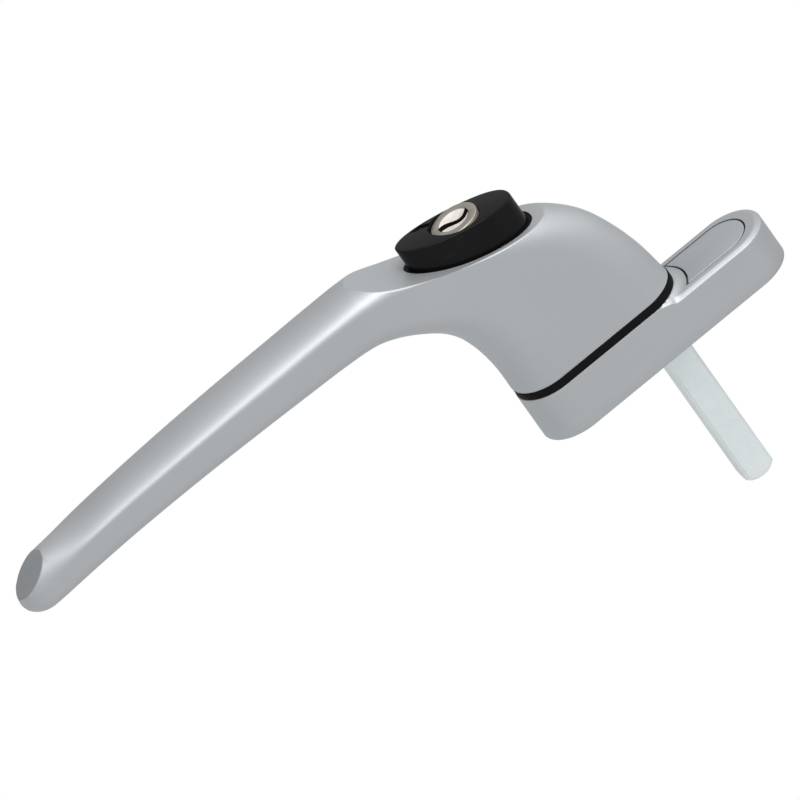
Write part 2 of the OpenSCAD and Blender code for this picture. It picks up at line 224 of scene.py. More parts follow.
def steps(a, b, count, last=True):
    """Evenly spaced values from a to b; last says whether b is among them."""
    return [mix(a, b, k / count) for k in range(count + (1 if last else 0))]


def piece_from(name, bm, angle=35.0):
    """Object from a bmesh, smooth except at edges sharper than angle."""
    bmesh.ops.recalc_face_normals(bm, faces=bm.faces)
    mesh = bpy.data.meshes.new(name)
    bm.to_mesh(mesh)
    bm.free()
    piece = bpy.data.objects.new(name, mesh)
    bpy.context.scene.collection.objects.link(piece)
    smooth_over(piece, angle)
    return piece


def smooth_over(piece, angle):
    for face in piece.data.polygons:
        face.use_smooth = True
    piece.data.set_sharp_from_angle(angle=math.radians(angle))


def loft(bm, rings, close_start=True, close_end=True):
    """Skin over rings of points, each closed on itself."""
    rows = [[bm.verts.new(p) for p in ring] for ring in rings]
    count = len(rows[0])
    for low, high in zip(rows, rows[1:]):
        for k in range(count):
            n = (k + 1) % count
            bm.faces.new((low[k], low[n], high[n], high[k]))
    if close_start:
        bm.faces.new(reversed(rows[0]))
    if close_end:
        bm.faces.new(rows[-1])
    return rows


def weld(bm, distance=2e-6):
    bmesh.ops.remove_doubles(bm, verts=bm.verts, dist=distance)
    bmesh.ops.dissolve_degenerate(bm, edges=bm.edges, dist=distance / 2)


def applied(piece):
    """Piece with its modifiers worked into its mesh."""
    graph = bpy.context.evaluated_depsgraph_get()
    mesh = bpy.data.meshes.new_from_object(piece.evaluated_get(graph))
    old = piece.data
    piece.modifiers.clear()
    piece.data = mesh
    mesh.name = piece.name
    bpy.data.meshes.remove(old)
    return piece


def cut(piece, cutters, angle=35.0):
    """Takes each cutter's solid out of the piece."""
    for cutter in cutters:
        step = piece.modifiers.new("cut", "BOOLEAN")
        step.object = cutter
        step.operation = "DIFFERENCE"
        step.solver = "EXACT"
    bpy.context.view_layer.update()
    applied(piece)
    for cutter in cutters:
        mesh = cutter.data
        bpy.data.objects.remove(cutter)
        bpy.data.meshes.remove(mesh)
    smooth_over(piece, angle)
    return piece


def prism(name, outline, out0, out1):
    """Straight solid over an outline of (across, up) points."""
    bm = bmesh.new()
    loft(bm, [[at(x, y, out) for x, y in outline] for out in (out0, out1)])
    return piece_from(name, bm)


def rounded(piece, width, segments=4, angle=40.0):
    """Piece with the edges sharper than angle rounded over width."""
    step = piece.modifiers.new("round", "BEVEL")
    step.width = width * MM
    step.segments = segments
    step.limit_method = "ANGLE"
    step.angle_limit = math.radians(angle)
    step.harden_normals = False
    bpy.context.view_layer.update()
    applied(piece)
    smooth_over(piece, 35.0)
    return piece


def circle(r, up=0.0, across=0.0, count=64):
    return [(across + r * math.cos(2 * math.pi * k / count), up + r * math.sin(2 * math.pi * k / count))
            for k in range(count)]


def lathe(name, profile, up, count=96, angle=30.0):
    """Solid of revolution about an axis out of the sash; profile holds (radius, out)."""
    bm = bmesh.new()
    rings = [[at(x, y, out) for x, y in circle(max(r, 1e-4), up, 0.0, count)] for r, out in profile]
    loft(bm, rings)
    weld(bm)
    return piece_from(name, bm, angle)


def cross_rod(name, up, out, r, across0, across1, count=32):
    """Round cutter that lies across the neck."""
    bm = bmesh.new()
    loft(bm, [[at(x, up + r * math.cos(a), out + r * math.sin(a))
               for a in steps(0, 2 * math.pi, count, False)] for x in (across0, across1)])
    return piece_from(name, bm)


def block(name, across, up, out0, out1):
    return prism(name, [(-across, -up), (across, -up), (across, up), (-across, up)], out0, out1)


def finish_piece(piece, body, slot, finish, *nodes):
    """Gives a piece its finish and its place in the frame."""
    piece.data.materials.clear()
    piece.data.materials.append(finish)
    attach(piece, body)
    if nodes:
        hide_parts(*nodes)


# ---- finishes ----


class Value:
    """Output of a shader node that takes part in sums."""

    def __init__(self, finish, socket):
        self.finish = finish
        self.socket = socket

    def maths(self, operation, other=None, swap=False):
        terms = (self,) if other is None else (other, self) if swap else (self, other)
        return self.finish.node("ShaderNodeMath", {"operation": operation}, dict(enumerate(terms)))

    def __add__(self, other):
        return self.maths("ADD", other)

    __radd__ = __add__

    def __sub__(self, other):
        return self.maths("SUBTRACT", other)

    def __rsub__(self, other):
        return self.maths("SUBTRACT", other, True)

    def __mul__(self, other):
        return self.maths("MULTIPLY", other)

    __rmul__ = __mul__

    def __pow__(self, other):
        return self.maths("POWER", other)

    def __neg__(self):
        return self.maths("MULTIPLY", -1.0)


class Finish:
    """Node tree of a material or of the world."""

    def __init__(self, tree):
        self.tree = tree
        tree.nodes.clear()

    def node(self, kind, settings=None, inputs=None, output=0):
        """Adds a node: its settings first, then the values or links of its sockets."""
        node = self.tree.nodes.new(kind)
        for key, value in (settings or {}).items():
            if key == "stops":
                ramp = node.color_ramp.elements
                while len(ramp) < len(value):
                    ramp.new(0.5)
                for stop, (place, shade) in zip(ramp, value):
                    stop.position = place
                    stop.color = shade
            else:
                setattr(node, key, value)
        for key, value in (inputs or {}).items():
            if isinstance(value, Value):
                self.tree.links.new(value.socket, node.inputs[key])
            else:
                node.inputs[key].default_value = value
        return Value(self, node.outputs[output] if node.outputs else None)

    def place(self, stretch=(1.0, 1.0, 1.0)):
        """Object coordinates, stretched."""
        source = self.node("ShaderNodeTexCoord", output=3)
        return self.node("ShaderNodeVectorMath", {"operation": "MULTIPLY"}, {0: source, 1: stretch})

    def parts(self):
        """Object coordinates as three values."""
        source = self.node("ShaderNodeTexCoord", output=3)
        return [self.node("ShaderNodeSeparateXYZ", {}, {0: source}, k) for k in range(3)]

    def out_from_sash(self):
        return -self.parts()[1]

    def noise(self, scale, detail=2.0, stretch=(1.0, 1.0, 1.0), roughness=0.5):
        return self.node("ShaderNodeTexNoise", {}, {
            "Vector": self.place(stretch), "Scale": scale, "Detail": detail, "Roughness": roughness})

    def cells(self, scale, output=0):
        return self.node("ShaderNodeTexVoronoi", {}, {"Vector": self.place(), "Scale": scale}, output)

    def within(self, value, low, high, new_low=0.0, new_high=1.0):
        """Value mapped from low..high to new_low..new_high and held there."""
        return self.node("ShaderNodeMapRange", {"clamp": True}, {
            "Value": value, "From Min": low, "From Max": high, "To Min": new_low, "To Max": new_high})

    def tint(self, factor, a, b, blend="MIX"):
        """Colour between a and b."""
        sides = [side if isinstance(side, Value) else (*side[:3], 1.0) for side in (a, b)]
        return self.node("ShaderNodeMix", {"data_type": "RGBA", "blend_type": blend},
                         {0: factor, 6: sides[0], 7: sides[1]}, 2)

    def bump(self, height, strength, distance):
        return self.node("ShaderNodeBump", {}, {
            "Height": height, "Strength": strength, "Distance": distance * MM})

    def surface(self, **inputs):
        """Principled surface; names use _ for spaces."""
        shader = self.node("ShaderNodeBsdfPrincipled", {},
                           {key.replace("_", " "): value for key, value in inputs.items()})
        self.node("ShaderNodeOutputMaterial", {}, {"Surface": shader})


def new_finish(name):
    material = bpy.data.materials.new(name)
    material.use_nodes = True
    return material, Finish(material.node_tree)


def shade(rgb, factor):
    return tuple(min(1.0, c * factor) for c in rgb)


def powder_coat(name, rgb, seam=None):
    """Satin metallic powder coat with fine grain and flake; below seam, if given, it is painted near black as
    shade in the gap round the cover.
    """
    material, f = new_finish(name)
    grain = f.noise(3800.0, 3.0, roughness=0.65)
    cloud = f.noise(45.0, 3.0)
    flake = f.within(f.cells(5200.0), 0.0, 0.9)
    colour_now = f.tint(f.within(cloud, 0.3, 0.7), shade(rgb, 0.975), shade(rgb, 1.02))
    colour_now = f.tint(f.within(grain, 0.35, 0.65) * 0.5, colour_now, shade(rgb, 0.93))
    colour_now = f.tint(flake * 0.22, colour_now, shade(rgb, 1.18))
    metal = 0.6
    if seam:
        # Painted shade: below seam the coat turns near black and loses its metal, standing in for the shadow
        # in the cover's gap.
        painted_shade = f.within(f.out_from_sash(), seam * MM, (seam + 0.12) * MM, 1.0, 0.0)
        colour_now = f.tint(painted_shade, colour_now, (0.01, 0.01, 0.012))
        metal = 0.6 - painted_shade * 0.6
    f.surface(Base_Color=colour_now, Metallic=metal,
              Roughness=0.43 + f.within(grain, 0.3, 0.7) * 0.05 + f.within(cloud, 0.3, 0.7) * 0.03,
              Specular_IOR_Level=0.5,
              Normal=f.bump(grain + f.noise(900.0, 2.0) * 0.8, 0.10, 0.05))
    return material


def moulding(name, rgb, roughness, grain_size, specular=0.5):
    """Black moulded plastic with a fine surface and faint flow marks."""
    material, f = new_finish(name)
    grain = f.noise(grain_size, 3.0)
    flow = f.noise(120.0, 3.0, (1.0, 0.25, 1.0))
    wear = f.within(f.noise(650.0, 4.0, (1.0, 1.0, 0.2)), 0.62, 0.72)
    colour_now = f.tint(f.within(flow, 0.3, 0.7), shade(rgb, 0.85), shade(rgb, 1.25))
    f.surface(Base_Color=f.tint(wear * 0.25, colour_now, shade(rgb, 3.0)),
              Roughness=roughness + f.within(flow, 0.3, 0.7) * 0.05 + wear * 0.06,
              Specular_IOR_Level=specular,
              Normal=f.bump(grain + flow * 0.6, 0.12, 0.03))
    return material


def plated(name, rgb, roughness, stretch, scale=2600.0, mottle=0.0, metallic=1.0):
    """Plated or bare metal with fine drawn lines; mottle adds a crystalline bloom."""
    material, f = new_finish(name)
    lines = f.noise(scale, 4.0, stretch, 0.7)
    cloud = f.noise(160.0, 4.0)
    spangle = f.cells(900.0, 1)
    colour_now = f.tint(f.within(cloud, 0.3, 0.7), shade(rgb, 0.93), shade(rgb, 1.05))
    colour_now = f.tint(f.within(lines, 0.3, 0.7) * 0.35, colour_now, shade(rgb, 0.86))
    if mottle:
        colour_now = f.tint(mottle, colour_now, spangle, "SOFT_LIGHT")
    f.surface(Base_Color=colour_now, Metallic=metallic,
              Roughness=roughness + f.within(lines, 0.3, 0.7) * 0.08 + f.within(cloud, 0.3, 0.7) * 0.05,
              Normal=f.bump(lines, 0.08, 0.02))
    return material


def nickel_face(name, rgb, dish_r):
    """Satin nickel, ground flat outside the dish and smoother inside it, where a painted highlight makes it
    pale cream; painted shade darkens the keyway.
    """
    material, f = new_finish(name)
    across, _, up = f.parts()
    up = up - LOCK_UP * MM
    reach = (across * across + up * up) ** 0.5
    dish = f.within(reach, (dish_r - 0.1) * MM, (dish_r + 0.05) * MM, 1.0, 0.0)
    rings = f.node("ShaderNodeTexNoise", {"noise_dimensions": "1D"},
                   {"W": reach * 9000.0, "Scale": 1.0, "Detail": 2.0})
    cloud = f.noise(400.0, 3.0)
    ground = f.tint(f.within(rings, 0.3, 0.7), shade(rgb, 0.80), shade(rgb, 1.0))
    # Painted highlight: inside the dish the nickel is painted pale cream and made less metallic, standing in
    # for light reflected in the hollow.
    painted_highlight = f.tint(f.within(cloud, 0.35, 0.7), (0.97, 0.93, 0.87), (0.80, 0.74, 0.66))
    # Painted shade: the keyway's walls are painted near black and made non-metallic, standing in for the
    # shade inside the slot.
    wave = (up * (2 * math.pi / (KEY_L * MM))).maths("SINE") * (KEY_WAVE * MM)
    beside = (across - wave).maths("ABSOLUTE")
    painted_shade = (f.within(beside, (KEY_W / 2 + 0.02) * MM, (KEY_W / 2 + 0.06) * MM, 1.0, 0.0)
            * f.within(up.maths("ABSOLUTE"), (KEY_L / 2 + 0.02) * MM, (KEY_L / 2 + 0.06) * MM, 1.0, 0.0))
    metal_now = f.tint(painted_shade, f.tint(dish, ground, painted_highlight), (0.02, 0.016, 0.012))
    f.surface(Base_Color=metal_now, Metallic=(0.9 - dish * 0.65) * (1 - painted_shade),
              Roughness=0.33 - dish * 0.14 + f.within(cloud, 0.3, 0.7) * 0.06,
              Normal=f.bump(rings, 0.05, 0.02))
    return material


def pale_floor(name, rgb):
    material, f = new_finish(name)
    cloud = f.noise(6.0, 3.0)
    f.surface(Base_Color=f.tint(f.within(cloud, 0.3, 0.7), shade(rgb, 0.98), rgb),
              Roughness=0.65 + f.within(cloud, 0.3, 0.7) * 0.1,
              Normal=f.bump(f.noise(400.0, 2.0), 0.05, 0.2))
    return material


FINISHES = {}


def finish_of(kind):
    """Material of a kind, made when it is first asked for."""
    if kind in FINISHES:
        return FINISHES[kind]
    look = bpy.context.scene.handle_finish
    makers = {
        "silver_paint": lambda: powder_coat(kind, look.silver),
        # The screw cover's coat carries painted gap shade from 0.3 mm under its face.
        "cover_paint": lambda: powder_coat(kind, look.cool_silver, COVER_FACE - 0.3),
        "black_plastic": lambda: moulding(kind, look.black, 0.5, 2600.0, 0.06),
        "button_gloss": lambda: moulding(kind, look.black, 0.13, 900.0, 0.11),
        "satin_nickel": lambda: nickel_face(kind, look.nickel, bpy.context.scene.handle_button.dish_r),
        "zinc_plate": lambda: plated(kind, look.zinc, 0.30, (1.0, 0.06, 1.0), mottle=0.12, metallic=0.45),
        "spring_steel": lambda: plated(kind, look.steel, 0.28, (1.0, 0.2, 1.0)),
        "lock_brass": lambda: plated(kind, look.brass, 0.26, (0.2, 1.0, 1.0)),
        "pale_floor": lambda: pale_floor(kind, look.floor),
    }
    FINISHES[kind] = makers[kind]()
    FINISHES[kind].name = kind + "_finish"
    return FINISHES[kind]


# ---- lever ----


def blend(a, b, c, d, t):
    """Smooth value between stations b and c, with a and d on their far sides."""
    return [q + t / 2 * (r - p + t * (2 * p - 5 * q + 4 * r - s + t * (3 * q - p - 3 * r + s)))
            for p, q, r, s in zip(a, b, c, d)]


def station(i):
    return STATIONS[max(0, min(len(STATIONS) - 1, i))]


def cut_height(mid, v):
    """Distance from the middle of a slice, along v, to the nearest cut on its room side."""
    heights = [math.inf]
    q = Vector((mid[0] - SCOOP_UP, mid[1] - SCOOP_OUT))
    b = q.dot(v)
    c = q.length_squared - SCOOP_R ** 2
    if b < 0 and b * b > c:
        heights.append(-b - math.sqrt(b * b - c))
    if mid[0] < FACET_UP + 25:
        n = Vector((-math.sin(FACET_TILT), math.cos(FACET_TILT)))
        heights.append(-n.dot(Vector((mid[0] - FACET_UP, mid[1] - FACET_OUT))) / n.dot(v))
    return min(heights)


def half_slice(hw, hd, r, crown, cut_v, ridge):
    """Right half of a slice as (across, v) points, from its window side to its room side."""
    rx = min(r, hw - 0.2)
    points = [(x, -hd) for x in steps(0, hw - rx, 4, False)]
    points += [(hw - rx + rx * math.sin(a), -hd + r - r * math.cos(a))
               for a in steps(0, math.pi / 2, 8, False)]
    ax = hw - 0.2
    base_v = hd - crown
    top_v = min(cut_v, hd)
    points += [(hw, v) for v in steps(-hd + r, max(-hd + r, min(base_v, top_v)), 5, False)]
    turn_to = math.asin(max(0.0, min(1.0, (top_v - base_v) / crown)))
    corner = (0.2 + ax * math.cos(turn_to) if top_v >= base_v else hw, top_v)
    run = Vector((-ax * math.sin(turn_to), crown * math.cos(turn_to)))
    turn = math.acos(max(-1.0, min(1.0, -run.x / run.length)))
    setback = min(ridge * math.tan(turn / 2), 0.4 * corner[0], 0.45 * run.length * turn_to + 0.02)
    start = max(0.0, turn_to - setback / run.length)
    points += [(0.2 + ax * math.cos(a), base_v + crown * math.sin(a)) if top_v >= base_v else (hw, top_v)
               for a in steps(0, start, 16, False)]
    first = (0.2 + ax * math.cos(start), base_v + crown * math.sin(start)) if top_v >= base_v else (hw, top_v)
    last = (corner[0] - setback, corner[1])
    for t in steps(0, 1, 6, False):
        points.append(tuple(mix(mix(first[i], corner[i], t), mix(corner[i], last[i], t), t) for i in (0, 1)))
    points += [(x, top_v) for x in steps(last[0], 0, 7)]
    return points


def hub_point(p, out):
    """Point of the hub's wall in the direction of p from the spindle's axis."""
    spoke = Vector((p.x, p.z)).normalized() * HUB_R
    return at(spoke.x, spoke.y, out)


def lever_ring(s, ridge):
    inner, outer = Vector(s[:2]), Vector(s[2:4])
    v = (outer - inner).normalized()
    mid = (inner + outer) / 2
    half = half_slice(s[4], (outer - inner).length / 2, s[5], s[6], cut_height(mid, v), ridge)
    ring = half + [(-x, t) for x, t in reversed(half[1:-1])]
    return [at(x, *(mid + v * t)) for x, t in ring]


def lever_rings(look):
    rings = []
    for k in range(look.slices * (len(STATIONS) - 1) + 1):
        u = k / look.slices
        i = min(int(u), len(STATIONS) - 2)
        rings.append(lever_ring(blend(station(i - 1), station(i), station(i + 1), station(i + 2), u - i),
                                look.ridge))
    rings.pop()
    foot = STATIONS[-1]
    for a in steps(0, math.pi / 2, 4):
        inset = look.foot * (1 - math.cos(a))
        out = NECK_FACE + look.foot * (1 - math.sin(a))
        rings.append(lever_ring((foot[0] + inset, out, foot[2] - inset, out, *(r - inset for r in foot[4:])),
                                look.ridge))
    for out in (NECK_FACE, HUB_FOOT):
        rings.append([hub_point(p, out) for p in rings[-1]])
    return rings


def lens_outline(grow, count=120):
    """Outline of the button, drawn out by grow."""
    a = (BUTTON[1][1] - BUTTON[1][0]) / 2 + grow
    b = (BUTTON[0][1] - BUTTON[0][0]) / 2 + grow
    points = []
    for t in steps(0, 2 * math.pi, count, False):
        c, s = math.cos(t), math.sin(t)
        p = 0.84 if s > 0 else 1.0
        points.append((b * math.copysign(abs(c) ** p, c), BUTTON_UP + a * math.copysign(abs(s) ** p, s)))
    return points


class HANDLE_OT_lever(bpy.types.Operator):
    """Adds the lever and its neck, cut out for the lock button"""

    bl_idname = "handle.add_lever"
    bl_label = "Lever"

    def execute(self, context):
        look = context.scene.handle_lever
        rings = lever_rings(look)
        end = rings[0]
        tip = sum(end, Vector()) / len(end)
        rings[:0] = [[tip + (p - tip) * shrink + at(0, -beyond, 0) for p in end]
                     for shrink, beyond in ((0.4, 0.17), (0.75, 0.10))]
        bm = bmesh.new()
        loft(bm, rings)
        weld(bm)
        lever = piece_from("lever_casting", bm, 45.0)
        cut(lever, [
            prism("pocket", lens_outline(BEZEL_WALL + 0.02), POCKET_OUT, 75.0),
            cross_rod("stop_pin_hole", *STOP_PIN, -12.0, -7.0),
            cross_rod("stop_pin_hole", *STOP_PIN, 7.0, 7.85),
            cross_rod("spindle_pin_hole", *SPINDLE_PIN, -12.0, -7.4),
            prism("bolt_hole", circle(2.05, BOLT_UP), NECK_FACE - 1, 25.0),
            prism("bolt_chamber", circle(2.95, BOLT_UP), 24.0, POCKET_OUT + 1),
            prism("lock_chamber", circle(6.6, LOCK_UP), 25.0, POCKET_OUT + 1),
            block("spindle_hole", 3.55, 3.55, 5.0, 28.0),
        ], 30.0)
        finish_piece(lever, "handle", "silver_paint", finish_of("silver_paint"), "lever")
        return {"FINISHED"}


# ---- base ----


def base_level(x, y, look):
    """Height of the base's face: the seat, the hollow round it, and the cover's level."""
    rise = SEAT - COVER_FACE
    reach = math.sqrt(look.sweep ** 2 - (look.sweep - rise) ** 2)
    beyond = math.hypot(x, y) - END_R if y > 0 else min(0.0, abs(x) - END_R)
    if beyond <= 0:
        return SEAT
    if beyond >= reach:
        return COVER_FACE
    return COVER_FACE + look.sweep - math.sqrt(look.sweep ** 2 - (reach - beyond) ** 2)


def soft_chamfer():
    """Rounded chamfer from the wall up to the face, as (inset, drop) in millimetres."""
    slant = math.radians(60)
    low_r, flat, high_r = 0.5, 0.7, 1.2
    low = [(low_r * (1 - math.cos(a)), low_r * math.sin(a)) for a in steps(0, slant, 6)]
    inset = low[-1][0] + flat * math.sin(slant)
    rise = low[-1][1] + flat * math.cos(slant)
    high = [(inset + high_r * (math.cos(slant) - math.cos(a)),
             rise + high_r * (math.sin(a) - math.sin(slant)))
            for a in steps(slant, math.pi / 2, 4)]
    return [(x, high[-1][1] - y) for x, y in low + high]


def base_columns():
    """Points round the base's outline with the inward direction at each."""
    low, high = BASE[1][0] + END_R, BASE[1][1] - END_R
    ups = steps(low, -1.0, 14, False) + steps(-1.0, 13.0, 64, False) + steps(13.0, high, 8, False)
    right = [((END_R, y), (-1.0, 0.0)) for y in ups]
    top = [((END_R * math.cos(a), high + END_R * math.sin(a)), (-math.cos(a), -math.sin(a)))
           for a in steps(0, math.pi, 40, False)]
    left = [((-x, y), (-i, j)) for (x, y), (i, j) in
            [((END_R, high), (-1.0, 0.0))] + list(reversed(right[1:]))]
    bottom = [((-END_R * math.cos(a), low - END_R * math.sin(a)), (math.cos(a), math.sin(a)))
              for a in steps(0, math.pi, 40, False)]
    return right + top + left + bottom


def base_ring(look, columns, kind, amount):
    """Ring of the base's skin: on its wall, on its edge's rounding or on its face."""
    ring = []
    for (x, y), (i, j) in columns:
        size = mix(look.seat_edge, look.edge, smooth_step(4.0, 5.4, y))
        if kind == "wall":
            inset, out = amount
        elif kind == "under":
            inset, out = 0.0, base_level(x, y, look) - size * amount - 0.6
        elif kind == "edge":
            inset, drop = (size * part for part in amount)
            out = base_level(x + i * inset, y + j * inset, look) - drop
        else:
            inset = mix(size * soft_chamfer()[-1][0], END_R, amount)
            out = base_level(x + i * inset, y + j * inset, look)
        ring.append(at(x + i * inset, y + j * inset, out))
    return ring


def cover_outline(gap, corner):
    """Outline of the screw cover, drawn in by gap: round at one end, hollow at the other."""
    w = COVER_W - gap
    arc = COVER_ARC + gap
    side = math.asin(w / arc)
    turn = side - corner / arc
    points = [(arc * math.sin(a), arc * math.cos(a)) for a in steps(turn, -turn, 24)]
    points += [(-w, arc * math.cos(side) + corner)]
    points += [(w * math.cos(a), COVER_TOP - COVER_W + w * math.sin(a)) for a in steps(math.pi, 0, 48)]
    points += [(w, arc * math.cos(side) + corner)]
    return list(reversed(points))


class HANDLE_OT_base(bpy.types.Operator):
    """Adds the base that screws to the sash"""

    bl_idname = "handle.add_base"
    bl_label = "Base"

    def execute(self, context):
        look = context.scene.handle_base
        columns = base_columns()
        rings = [base_ring(look, columns, "wall", place)
                 for place in ((0.35, 0.0), (0.1, 0.1), (0.0, 0.35), (0.0, 3.0), (0.0, 6.0))]
        rings.append(base_ring(look, columns, "under", soft_chamfer()[0][1]))
        rings += [base_ring(look, columns, "edge", a) for a in soft_chamfer()]
        rings += [base_ring(look, columns, "face", a) for a in steps(0, 1, 18)[1:]]
        bm = bmesh.new()
        loft(bm, rings, close_end=False)
        weld(bm, 1e-5)
        bmesh.ops.holes_fill(bm, edges=[e for e in bm.edges if e.is_boundary], sides=0)
        base = piece_from("base_housing_skin", bm, 35.0)
        cut(base, [
            prism("pocket", cover_outline(0.0, 0.0), COVER[2][0], 14.0),
            lathe("upper_screw", [(2.7, -1.0), (2.7, COVER[2][0] + 0.5)], SCREW_UP),
            lathe("lower_screw", [(2.7, -1.0), (2.7, SEAT - 2.6), (5.0, SEAT), (5.0, SEAT + 1)], -SCREW_UP),
            block("plate_seat", PLATE[0][1] + 0.1, PLATE[1][1] + 0.1, -1.0, PLATE[2][1]),
            block("chamber", 7.5, 10.0, 1.0, 6.8),
            prism("hub_hole", circle(6.3), 6.0, SEAT + 1),
            prism("bush_hole", circle(3.52, BOLT_UP), COVER[2][0], SEAT + 1),
        ], 35.0)
        finish_piece(base, "base", "silver_paint", finish_of("silver_paint"), "base_housing")
        return {"FINISHED"}


class HANDLE_OT_cover(bpy.types.Operator):
    """Adds the inset cover over the upper screw"""

    bl_idname = "handle.add_cover"
    bl_label = "Screw cover"

    def execute(self, context):
        cover = prism("screw_cover_skin", cover_outline(COVER_GAP, 0.3), COVER[2][0] + 0.2, COVER_FACE)
        rounded(cover, context.scene.handle_base.cover_edge)
        finish_piece(cover, "base", "cover_paint", finish_of("cover_paint"), "screw_cover")
        return {"FINISHED"}


class HANDLE_OT_gasket(bpy.types.Operator):
    """Adds the black bearing gasket between the base and the neck"""

    bl_idname = "handle.add_gasket"
    bl_label = "Gasket"

    def execute(self, context):
        r = GASKET[0][1]
        low, high = GASKET[1][0] + r, GASKET[1][1] - r
        outline = [(r * math.cos(a), high + r * math.sin(a)) for a in steps(0, math.pi, 40)]
        outline += [(r * math.cos(a), low + r * math.sin(a)) for a in steps(math.pi, 2 * math.pi, 40)]
        gasket = rounded(prism("bearing_gasket_skin", outline, *GASKET[2]), 0.3)
        cut(gasket, [
            prism("hub_hole", circle(6.4), 10.0, 16.0),
            prism("bush_hole", circle(3.55, BOLT_UP), 10.0, 16.0),
            prism("screw_hole", circle(5.2, -SCREW_UP), 10.0, 16.0),
        ])
        finish_piece(gasket, "base", "black_plastic", finish_of("black_plastic"), "bearing_gasket")
        return {"FINISHED"}


# ---- lock ----


def button_top(x, y, look):
    """Height of the button's face, sloped and slightly crowned."""
    middle = (BUTTON[2][1] - math.tan(look.slope) * (BUTTON[1][1] - BUTTON[1][0]) / 2)
    reach = (x / 6.5) ** 2
    return middle - math.tan(look.slope) * (y - BUTTON_UP) - 0.25 * reach


def groove_cutter(look, depth=0.4):
    """Cutter for the shallow groove beside the lock, parallel to the button's face."""
    bm = bmesh.new()
    loft(bm, [[at(x, y, button_top(x, y, look) + lift) for x, y in GROOVE] for lift in (-depth, 1.0)])
    return piece_from("groove", bm)


class HANDLE_OT_button(bpy.types.Operator):
    """Adds the lens-shaped push button"""

    bl_idname = "handle.add_button"
    bl_label = "Lock button"

    def execute(self, context):
        look = context.scene.handle_button
        r = look.edge
        floor = BUTTON[2][0]
        rings = [[at(x, y, floor) for x, y in lens_outline(-0.3)],
                 [at(x, y, floor + 0.3) for x, y in lens_outline(0.0)]]
        for a in steps(0, math.pi / 2, 6):
            rings.append([at(x, y, button_top(x, y, look) - r + r * math.sin(a))
                          for x, y in lens_outline(-r * (1 - math.cos(a)))])
        for inset in steps(r, 6.3, 14)[1:]:
            rings.append([at(x, y, button_top(x, y, look)) for x, y in lens_outline(-inset)])
        bm = bmesh.new()
        loft(bm, rings)
        button = piece_from("lock_button_skin", bm, 40.0)
        cut(button, [
            prism("counterbore", circle(LOCK_R + 0.22, LOCK_UP, count=96), LOCK_FACE - 2.55, 70.0),
            prism("sleeve_hole", circle(5.42, LOCK_UP, count=96), floor - 1, LOCK_FACE - 2.0),
            groove_cutter(look),
        ])
        finish_piece(button, "button", "button_gloss", finish_of("button_gloss"), "lock_button")
        return {"FINISHED"}


def keyway_outline():
    """Wavy slot of the key."""
    def side(y, s):
        return (s * KEY_W / 2 + KEY_WAVE * math.sin(2 * math.pi * y / KEY_L), LOCK_UP + y)
    ups = steps(-KEY_L / 2, KEY_L / 2, 28)
    return [side(y, 1) for y in ups] + [side(y, -1) for y in reversed(ups)]


class HANDLE_OT_plug(bpy.types.Operator):
    """Adds the nickel key plug with its dish and keyway"""

    bl_idname = "handle.add_plug"
    bl_label = "Key plug"

    def execute(self, context):
        look = context.scene.handle_button
        ball = (look.dish_r ** 2 + look.dish ** 2) / (2 * look.dish)
        full = math.asin(look.dish_r / ball)
        chamfer = 0.22
        profile = [(0, 38.0), (4.8, 38.0), (4.8, LOCK_FACE - 2.4), (LOCK_R, LOCK_FACE - 2.4)]
        profile += [(LOCK_R - chamfer * (1 - math.cos(a)), LOCK_FACE - chamfer + chamfer * math.sin(a))
                    for a in steps(0, math.pi / 2, 4)]
        profile += [(look.dish_r + 0.12, LOCK_FACE), (look.dish_r, LOCK_FACE - 0.04)]
        profile += [(ball * math.sin(a), LOCK_FACE - look.dish + ball * (1 - math.cos(a)))
                    for a in steps(full, 0, 12)[1:]]
        plug = lathe("key_plug_skin", profile, LOCK_UP, 128, 28.0)
        cut(plug, [prism("keyway", keyway_outline(), 39.0, 60.0)], 28.0)
        finish_piece(plug, "plug", "satin_nickel", finish_of("satin_nickel"), "key_plug")
        return {"FINISHED"}


# ---- spindle and the pieces kept as they are ----


class HANDLE_OT_spindle(bpy.types.Operator):
    """Adds the square spindle with its turned end"""

    bl_idname = "handle.add_spindle"
    bl_label = "Spindle"

    def execute(self, context):
        half = SPINDLE[0][1]
        corner_r, end_r = 4.6, 3.2
        far, near = SPINDLE[2][0], 12.0
        outs = [far + d for d in (0.0, 0.15, 0.3, 0.45, 0.6, 0.75, 0.9, 1.05, 1.2, 1.3, 1.42, 1.6, 2.2)]
        bm = bmesh.new()
        rings = []
        for out in outs + steps(far + 6, near, 10):
            turned = end_r + (out - far)
            ring = []
            for a in steps(0, 2 * math.pi, 144, False):
                side = max(abs(math.cos(a)), abs(math.sin(a)))
                flat = half / side
                rho = min(flat, corner_r - 0.35 * max(0.0, flat - corner_r), turned)
                ring.append(at(rho * math.cos(a), rho * math.sin(a), out))
            rings.append(ring)
        loft(bm, rings)
        spindle = piece_from("spindle_bar", bm, 22.0)
        finish_piece(spindle, "handle", "zinc_plate", finish_of("zinc_plate"), "spindle")
        return {"FINISHED"}


